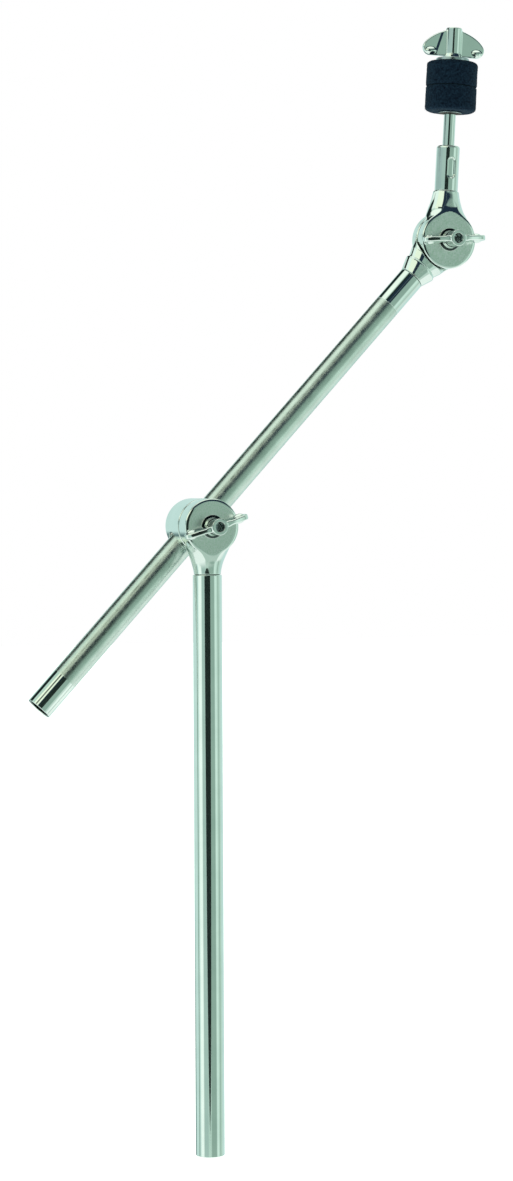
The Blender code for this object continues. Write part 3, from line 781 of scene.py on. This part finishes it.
def add_clamp_bolt():
    """Hexagon-head bolt with a chamfered head and a threaded shank."""
    place = HEAD @ FACING_BACK
    low, high = local_box("upper_clamp_bolt", place)
    head_height = 4.0
    head_width = 10.0
    chamfer_slope = 1.7
    chamfer_radius = 5.3
    thread_length = 20.0
    head_foot = high[2] - head_height
    root = head_foot + 1.0

    def field(points):
        x, y, z = np.moveaxis(points, -1, 0)
        sides = rounded_max(hexagon(y, x, head_width), slab(z, head_foot, high[2]), 0.2)
        chamfer = np.hypot(x, y) + chamfer_slope * z - (chamfer_radius + chamfer_slope * high[2])
        return rounded_max(sides, chamfer / 2.0, 0.1)

    points, faces = surface(field, np.array((low[0], low[1], head_foot)), high, NUT_CELL)
    thread = thread_shape(THREAD_RADIUS, low[2] + 0.4, low[2] + thread_length)
    shank, shank_faces = turned_bar([
        (0.0, low[2], 0.0), (THREAD_RADIUS, low[2], 0.6), (THREAD_RADIUS, root, 0.2),
        (0.0, root, 0.0)], thread)
    points, faces = joined(points, faces, shank, shank_faces)
    weigh_normals(add_piece("upper_clamp_bolt", points, faces, place, STEEL))


def add_cover():
    """Pressed cover plate with a shallow rim and a centre rivet."""
    place = TILT @ FACING_BACK
    low, high = local_box("clamp_cover", place)
    rim = high[0]
    top = high[2]
    floor = top - 0.35
    rivet_top = top - 0.05
    outline = rounded([
        (0.0, low[2], 0.0), (rim, low[2], 0.15), (rim, top, 0.25), (rim - 1.6, top, 0.2),
        (rim - 2.1, floor, 0.2), (3.4, floor, 0.2), (3.0, rivet_top, 0.2),
        (0.0, rivet_top, 0.0)])[1:-1]
    points, faces = turned(outline, ROUND_STEPS, closed=False)
    points, faces = close_poles(points, faces, ROUND_STEPS)
    weigh_normals(add_piece("clamp_cover", points, faces, place, STEEL))


# ---- castings


def neck_field(rings, blur=1.6):
    """Field of a smooth oval neck through (height, half x, half y, centre y) rings."""
    rings = np.array(sorted(rings))
    low, high = rings[0, 0], rings[-1, 0]
    heights = np.linspace(low, high, 400)
    step = heights[1] - heights[0]
    width = max(1, int(blur / step))
    kernel = np.ones(2 * width + 1) / (2 * width + 1)
    columns = []
    for index in (1, 2, 3):
        value = np.interp(heights, rings[:, 0], rings[:, index])
        for _ in range(2):
            value = np.convolve(np.pad(value, width, mode="edge"), kernel, mode="valid")
        columns.append(value)

    def field(x, y, z):
        half_x, half_y, centre_y = (np.interp(z, heights, column) for column in columns)
        return rounded_max(oval(x, y - centre_y, half_x, half_y), slab(z, low, high), 0.5)
    return field


def spring_pocket(x, y, z, back):
    """Round pocket for the spring, open at the back of a casting."""
    return np.maximum(np.hypot(x, z) - SPRING_POCKET_RADIUS, back - SPRING_POCKET_DEPTH - y)


def casting_field(front, back, disc_radius, neck, fillet, front_side):
    """Field of one tilter half: a disc across Y with its neck, kept behind the disc's outer face.

    front_side says on which side of the disc the other half sits: 1 behind it, -1 in front.
    """
    def field(points):
        x, y, z = np.moveaxis(points, -1, 0)
        round_side = np.hypot(x, z)
        disc = softened_max(round_side - disc_radius, slab(y, front, back), RIM_WIDTH, RIM_DEPTH)
        outer = front - y if front_side > 0 else y - back
        beyond = back - y if front_side > 0 else y - front
        stem = rounded_max(neck(x, y, z), outer + NECK_SETBACK, 1.0)
        both = rounded_min(disc, stem, fillet)
        relief = np.maximum(round_side - (disc_radius + DISC_CLEARANCE), beyond)
        both = np.maximum(cut(both, relief, 0.4), outer)
        return cut(both, round_side - STUD_HOLE, CUT_EDGE)
    return field


def add_tube_neck():
    """Neck casting on the lower tube, with the fixed front disc."""
    disc_radius = local_box("boom_clamp", TILT)[1][0]
    front = local_box("tube_neck", TILT)[0][1]
    back = local_box("lower_friction_ring", TILT)[0][1] - GAP
    tube = local_box("lower_tube", TILT)[1]
    base = tube[2] + GAP
    spigot = tube[0] - SPIGOT_INSET
    neck = neck_field([
        (base, 8.75, 8.6, 0.0),
        (base + 4.0, 9.4, 9.1, 0.0),
        (base + 8.0, 10.5, 9.9, 0.0),
        (base + 12.0, 12.2, 10.3, -0.5),
        (base + 16.0, 13.6, 9.3, -1.4),
        (base + 19.5, 14.4, 8.5, -2.2),
        (base + 26.5, 13.0, 6.0, -3.0),
    ])
    casting = casting_field(front, back, disc_radius, neck, 2.2, 1)

    def field(points):
        x, y, z = np.moveaxis(points, -1, 0)
        plug = rounded_max(np.hypot(x, y) - spigot, slab(z, base - 12.0, base + 3.0), 0.5)
        return np.minimum(cut(casting(points), spring_pocket(x, y, z, back), CUT_EDGE), plug)

    add_solid("tube_neck", TILT, field, CASTING_CELL, CASTING)


def add_boom_end():
    """Cone on the boom's end and the back half of the upper tilter."""
    disc_radius = local_box("upper_friction_ring", HEAD)[1][0] + RING_MARGIN
    front = local_box("upper_friction_ring", HEAD)[1][1] + GAP
    back = local_box("boom_end", HEAD)[1][1]
    boom = local_box("boom_tube", HEAD)[1]
    base = boom[2] + GAP
    spigot = boom[0] - SPIGOT_INSET
    pocket_width = 10.6
    pocket_depth = 3.0
    neck = neck_field([
        (base, 8.75, 8.75, 0.0),
        (base + 8.6, 12.0, 9.5, 0.0),
        (base + 9.6, 12.0, 9.5, 0.0),
        (base + 10.1, 11.0, 8.6, 0.0),
        (base + 16.0, 13.4, 8.9, 0.0),
        (base + 23.0, 15.2, 7.6, 1.0),
        (base + 30.0, 12.0, 4.0, 4.6),
    ], 0.3)
    casting = casting_field(front, back, disc_radius, neck, 1.2, -1)

    def field(points):
        x, y, z = np.moveaxis(points, -1, 0)
        pocket = np.maximum(hexagon(z, x, pocket_width), back - pocket_depth - y)
        plug = rounded_max(np.hypot(x, y) - spigot, slab(z, base - 12.0, base + 3.0), 0.5)
        return np.minimum(cut(casting(points), pocket, CUT_EDGE), plug)

    add_solid("boom_end", HEAD, field, CASTING_CELL, CASTING)


def add_post_casting():
    """Front half of the upper tilter with the neck that carries the post."""
    disc_radius = local_box("upper_friction_ring", HEAD)[1][0] + RING_MARGIN
    front = local_box("post_casting", POST)[0][1]
    back = local_box("upper_friction_ring", POST)[0][1] - GAP
    top = local_box("post_sleeve", POST)[0][2] - GAP
    spigot = 4.1
    neck = neck_field([
        (top, 8.7, 7.9, 0.0),
        (top - 7.4, 10.3, 9.0, 0.0),
        (top - 12.9, 12.4, 9.7, -0.2),
        (top - 18.4, 15.0, 8.2, -2.6),
        (top - 28.4, 13.0, 4.0, -5.0),
    ])
    casting = casting_field(front, back, disc_radius, neck, 1.6, 1)

    def field(points):
        x, y, z = np.moveaxis(points, -1, 0)
        plug = rounded_max(np.hypot(x, y) - spigot, slab(z, top - 3.0, top + 13.0), 0.3)
        return np.minimum(cut(casting(points), spring_pocket(x, y, z, back), CUT_EDGE), plug)

    add_solid("post_casting", POST, field, CASTING_CELL, CASTING)


def add_boom_clamp():
    """Drum that holds the boom, with its cross bore, eye slot and cover recess."""
    low, high = local_box("boom_clamp", TILT)
    radius, front, back = high[0], low[1], high[1]
    depth = (BOOM.translation.y - TILT.translation.y) / MM
    cover_radius = local_box("clamp_cover", TILT)[1][0] + GAP
    cover_floor = local_box("clamp_cover", TILT)[0][1] - GAP
    eye = local_box("eye_bolt", BOOM)[1]
    eye_reach = eye[0] + GAP
    eye_half = eye[2] + GAP
    bore_radius = local_box("boom_bush", BOOM)[1][1] + GAP

    def field(points):
        x, y, z = np.moveaxis(points, -1, 0)
        round_side = np.hypot(x, z)
        drum = rounded_max(round_side - radius, y - back, DRUM_EDGE)
        drum = rounded_max(drum, front - y, DISC_EDGE)
        along = x * sin(BOOM_LEAN) + z * cos(BOOM_LEAN)
        across = x * cos(BOOM_LEAN) - z * sin(BOOM_LEAN)
        behind = y - depth
        around = np.hypot(across, behind)
        drum = cut(drum, around - bore_radius, 0.6)
        open_back = np.maximum(np.abs(across) - eye_reach, -behind)
        slot = np.maximum(np.minimum(around - eye_reach, open_back), np.abs(along) - eye_half)
        drum = cut(drum, slot, 0.2)
        drum = cut(drum, np.maximum(round_side - STUD_HOLE, y - depth), CUT_EDGE)
        return cut(drum, np.maximum(round_side - cover_radius, cover_floor - y), CUT_EDGE)

    add_solid("boom_clamp", TILT, field, CASTING_CELL, CHROME)


# ---- wing nuts


def wing_place(node, place):
    """Turn a nut's frame about its own axis until X runs along the wings."""
    points = local_points(node, place)
    spread = np.cov(points[:, 0], points[:, 1])
    turn = 0.5 * atan2(2.0 * spread[0, 1], spread[0, 0] - spread[1, 1])
    return place @ Matrix.Rotation(turn, 4, "Z")


def dome(x, z, half_x, half_z, fullness):
    """Near distance to a superellipse."""
    across = np.abs(x) / half_x
    along = np.abs(z) / half_z
    reach = np.maximum((across**fullness + along**fullness) ** (1.0 / fullness), 1e-6)
    slope = np.hypot(across ** (fullness - 1.0) / half_x, along ** (fullness - 1.0) / half_z)
    return (reach - 1.0) / np.maximum(slope * reach ** (1.0 - fullness), 0.5 / max(half_x, half_z))


def ellipsoid(x, y, z, sizes):
    """Near distance to an ellipsoid with the given half sizes."""
    reach = np.sqrt((x / sizes[0])**2 + (y / sizes[1])**2 + (z / sizes[2])**2)
    slope = np.sqrt((x / sizes[0]**2)**2 + (y / sizes[1]**2)**2 + (z / sizes[2]**2)**2)
    return reach * (reach - 1.0) / np.maximum(slope, 1e-6)


def add_wing_nut(node, upright_place, fullness):
    """Cast wing nut: hub, half-moon blade and a finger pad low on each wing."""
    place = wing_place(node, upright_place)
    low, high = local_box(node, place)
    foot, top = low[2], high[2]
    half_span = high[0] - 0.4
    hub_radius = 5.4
    flange_radius = high[1]
    flange_height = 2.5
    flange_slope = 0.35
    corner = 5.4
    blade_half = 1.95
    blade_draft = 0.03
    blade_edge = 0.9
    blade_foot = foot + 1.2
    gusset_reach = (8.6, 2.8)
    gusset_rise = 0.38
    gusset_edge = 1.7
    crown = top - 0.8
    shoulder = blade_foot + corner + 0.2
    pad = (4.4, 3.2, 2.7)
    pad_inset = 5.4
    pad_height = 2.9

    def field(points):
        x, y, z = np.moveaxis(points, -1, 0)
        hub_side = np.hypot(x, y)
        wing = np.abs(x)
        hub = rounded_max(hub_side - hub_radius, slab(z, foot, top), 0.5)
        flange = rounded_max(hub_side - flange_radius + flange_slope * (z - foot),
                             slab(z, foot, foot + flange_height), 0.4)
        nut = rounded_min(hub, flange, 0.5)
        moon = dome(x, z - shoulder, half_span, crown - shoulder, fullness)
        moon = rounded_max(np.where(z > shoulder, moon, wing - half_span), blade_foot - z, corner)
        half = blade_half - blade_draft * (z - blade_foot)
        reach = hub_radius + np.interp(z, (blade_foot, top), gusset_reach)
        half = half + gusset_rise * np.clip((reach - wing) / gusset_edge, 0.0, 1.0)
        nut = rounded_min(nut, rounded_max(moon, np.abs(y) - half, blade_edge), 0.9)
        bulge = ellipsoid(wing - half_span + pad_inset, y, z - blade_foot - pad_height, pad)
        nut = rounded_min(nut, bulge, 0.5)
        nut = np.maximum(nut, foot - z)
        return cut(nut, hub_side - STUD_HOLE + 0.1, 0.4)

    add_solid(node, place, field, NUT_CELL, CHROME)


# ---- felts


def felt_shape(seed):
    """Shape function that makes the outside of pressed wool slightly uneven."""
    bore_side = 8.0
    inset = 0.32
    lumps = ((0.22, 0.18), (1.1, 0.12))
    offset = Vector((seed * 7.3, seed * 3.1, 0.0))

    def shape(radius, angle, height):
        moved = radius.copy()
        for index in np.ndindex(radius.shape):
            if radius[index] < bore_side:
                continue
            around = Vector((cos(angle[index]), sin(angle[index]), 0.0)) * radius[index]
            point = around + Vector((0.0, 0.0, height[index])) + offset
            lump = sum(noise.noise(point * scale) * size for scale, size in lumps)
            moved[index] = radius[index] - inset + lump
        return moved
    return shape


def add_fibres(points, faces, outline_radius, low, high, seed):
    """Short curled hairs standing on the felt's outer side and edges."""
    count = 2600
    half_width = 0.035
    longest_reach = 0.4
    random = np.random.default_rng(seed)
    angle = random.uniform(0.0, tau, count)
    height = random.uniform(low + 0.6, high - 0.6, count)
    edge = np.minimum(height - low, high - height)
    radius = outline_radius - 0.42 - 0.35 * np.clip(1.6 - edge, 0.0, None)**2
    outward = np.stack((np.cos(angle), np.sin(angle), np.zeros(count)), -1)
    around = np.stack((-np.sin(angle), np.cos(angle), np.zeros(count)), -1)
    up = np.array(UP)
    lean_around = random.normal(0.0, 0.8, count)[:, None]
    lean_up = random.normal(0.0, 0.8, count)[:, None]
    heading = outward * 0.55 + around * lean_around + up * lean_up
    heading /= np.linalg.norm(heading, axis=-1, keepdims=True)
    heading[:, :2] += outward[:, :2] * 0.12
    length = random.uniform(0.35, 0.8, count)[:, None]
    side = np.cross(heading, outward)
    side /= np.maximum(np.linalg.norm(side, axis=-1, keepdims=True), 1e-6)
    root = outward * radius[:, None] + up * height[:, None]
    slant = np.maximum((heading * outward).sum(-1, keepdims=True), 0.4)
    tip = root + heading * np.minimum(length, longest_reach / slant)
    hairs = np.stack((root + side * half_width, root - side * half_width, tip), 1).reshape(-1, 3)
    return joined(points, faces, hairs, np.arange(3 * count).reshape(-1, 3).tolist())


def add_felt(node, seed, lower_edge, upper_edge):
    """Soft-cornered felt washer with a hairy side."""
    low, high = local_box(node, POST)
    bore = 5.6
    outline = rounded([(bore, low[2], 0.6), (high[0], low[2], lower_edge),
                       (high[0], high[2], upper_edge), (bore, high[2], 0.6)])
    outline = divided(outline, 0.7)
    points, faces = turned(outline, 2 * ROUND_STEPS, felt_shape(seed))
    points, faces = add_fibres(points, faces, high[0], low[2], high[2], seed)
    piece = add_piece(node, points, faces, POST, FELT)


# ---- the whole object


def dress_kept_nodes():
    """Give the CAD nodes that stay their materials."""
    kept = {"lower_spring": STEEL, "upper_spring": STEEL, "boom_bush": NYLON}
    for node, look in kept.items():
        for slot in frame["nodes"][node].material_slots:
            slot.material = look


def add_object():
    """Every visible piece, from the bottom up."""
    dress_kept_nodes()
    add_lower_tube()
    add_tube_neck()
    add_ring("lower_friction_ring", TILT @ FACING_BACK, FRICTION_RING_BORE, 0.12, FIBRE_AND_PAINTED_SHADE)
    add_boom_clamp()
    add_cover()
    add_eye_bolt()
    add_cone_washer("lower_washer", TILT @ FACING_FRONT)
    add_wing_nut("lower_wing_nut", TILT @ FACING_FRONT, 2.0)
    add_boom_tube()
    add_boom_end()
    add_clamp_bolt()
    add_cone_washer("upper_washer", HEAD @ FACING_FRONT)
    add_wing_nut("upper_wing_nut", HEAD @ FACING_FRONT, 2.0)
    add_post_casting()
    add_ring("upper_friction_ring", HEAD @ FACING_BACK, FRICTION_RING_BORE, 0.12, FIBRE_AND_PAINTED_SHADE)
    add_post_sleeve()
    add_threaded_rod()
    add_seat_washer()
    add_ring("rod_sleeve", POST, STUD_HOLE, 0.3, NYLON)
    add_felt("lower_felt", 1, 2.8, 1.0)
    add_felt("upper_felt", 2, 1.0, 2.2)
    add_ring("top_washer", POST, STUD_HOLE, 0.45, STEEL)
    add_wing_nut("cymbal_wing_nut", POST, 1.6)


# ---- studio


def add_flat(name, corners, look):
    """Object of one flat face."""
    mesh = bpy.data.meshes.new(name)
    mesh.from_pydata(corners, [], [tuple(range(len(corners)))])
    mesh.materials.append(look)
    piece = bpy.data.objects.new(name, mesh)
    bpy.context.scene.collection.objects.link(piece)
    return piece


def add_floor():
    """Plain pale floor with a faint glow of its own, left out of the chrome's reflections."""
    half = 6.0
    corners = [(-half, -half, 0.0), (half, -half, 0.0), (half, half, 0.0), (-half, half, 0.0)]
    look, _, _, shader = start_material("floor_look", FLOOR_COLOUR, 0.0, 0.9)
    shader.inputs["Emission Color"].default_value = WHITE
    shader.inputs["Emission Strength"].default_value = FLOOR_GLOW
    floor = add_flat("floor", corners, look)
    floor.visible_glossy = False


def view_direction():
    """Unit vector from the object towards the camera, level with it."""
    return Vector((sin(CAMERA_AZIMUTH), -cos(CAMERA_AZIMUTH), 0.0))


def camera_location():
    """Where the camera stands."""
    return view_direction() * CAMERA_DISTANCE + UP * CAMERA_HEIGHT


def add_math(nodes, links, operation, first, second=None):
    """One math node on a socket, with an optional second socket or number."""
    math = nodes.new("ShaderNodeMath")
    math.operation = operation
    links.new(first, math.inputs[0])
    if isinstance(second, float):
        math.inputs[1].default_value = second
    elif second is not None:
        links.new(second, math.inputs[1])
    return math.outputs[0]


def add_window(nodes, links, value, span, soft):
    """One inside a span of degrees, fading to nothing outside it."""
    rise = add_step(nodes, links, value, span[0] - soft, span[0] + soft)
    fall = add_step(nodes, links, value, span[1] - soft, span[1] + soft)
    return add_math(nodes, links, "SUBTRACT", rise, fall)


def add_surroundings(nodes, links):
    """Studio seen in the chrome, by degrees to the right of the camera and degrees up."""
    coordinates = nodes.new("ShaderNodeTexCoord")
    vector = coordinates.outputs["Generated"]
    front = view_direction()
    right = UP.cross(front)
    ahead = add_dot(nodes, links, vector, front)
    aside = add_dot(nodes, links, vector, right)
    above = add_dot(nodes, links, vector, UP)
    degree = 180.0 / pi
    around = add_math(nodes, links, "ARCTAN2", aside, ahead)
    around = add_math(nodes, links, "MULTIPLY", around, degree)
    raised = add_math(nodes, links, "ARCSINE", above)
    raised = add_math(nodes, links, "MULTIPLY", raised, degree)
    base = nodes.new("ShaderNodeRGB")
    base.outputs[0].default_value = (*STUDIO_BASE, 1.0)
    colour = base.outputs[0]
    for layer, across, height, soft in STUDIO_LAYERS:
        mask = add_math(nodes, links, "MULTIPLY", add_window(nodes, links, around, across, soft),
                        add_window(nodes, links, raised, height, soft))
        colour = add_mix(nodes, links, "RGBA", mask, colour, layer)
    return colour


def add_card():
    """Black card round the camera: the dark core in every chrome reflection."""
    across = UP.cross(view_direction())
    turns = [tau * step / ROUND_STEPS for step in range(ROUND_STEPS)]
    rim = [camera_location() + CARD_RADIUS * (across * cos(turn) + UP * sin(turn)) for turn in turns]
    card = add_flat("card", rim, start_material("card_look", CARD_COLOUR, 0.0, 1.0)[0])
    card.visible_camera = False
    card.visible_shadow = False


def add_world():
    """Studio seen in the chrome and lighting the object, with a white backdrop for the camera."""
    world = bpy.data.worlds.new("studio")
    bpy.context.scene.world = world
    world.use_nodes = True
    nodes, links = world.node_tree.nodes, world.node_tree.links
    nodes.clear()
    light = nodes.new("ShaderNodeBackground")
    links.new(add_surroundings(nodes, links), light.inputs["Color"])
    backdrop = add_node(nodes, "Background", Color=WHITE)
    path = nodes.new("ShaderNodeLightPath")
    seen = nodes.new("ShaderNodeMixShader")
    links.new(path.outputs["Is Camera Ray"], seen.inputs["Fac"])
    links.new(light.outputs["Background"], seen.inputs[1])
    links.new(backdrop.outputs["Background"], seen.inputs[2])
    output = nodes.new("ShaderNodeOutputWorld")
    links.new(seen.outputs["Shader"], output.inputs["Surface"])


def add_camera():
    """Camera at the reference viewing angle."""
    heading = CAMERA_AZIMUTH + CAMERA_YAW
    forward = Vector((-sin(heading) * cos(CAMERA_PITCH), cos(heading) * cos(CAMERA_PITCH),
                      -sin(CAMERA_PITCH)))
    level = Vector((cos(heading), sin(heading), 0.0))
    above = level.cross(forward)
    right = level * cos(CAMERA_ROLL) + above * sin(CAMERA_ROLL)
    up = above * cos(CAMERA_ROLL) - level * sin(CAMERA_ROLL)
    data = bpy.data.cameras.new("camera")
    data.lens = CAMERA_LENS
    data.sensor_width = CAMERA_SENSOR
    camera = bpy.data.objects.new("camera", data)
    turn = Matrix((right, up, -forward)).transposed().to_4x4()
    camera.matrix_world = Matrix.Translation(camera_location()) @ turn
    bpy.context.scene.collection.objects.link(camera)
    bpy.context.scene.camera = camera


add_object()
add_floor()
add_card()
add_world()
add_camera()
bpy.context.scene.view_settings.view_transform = "Standard"
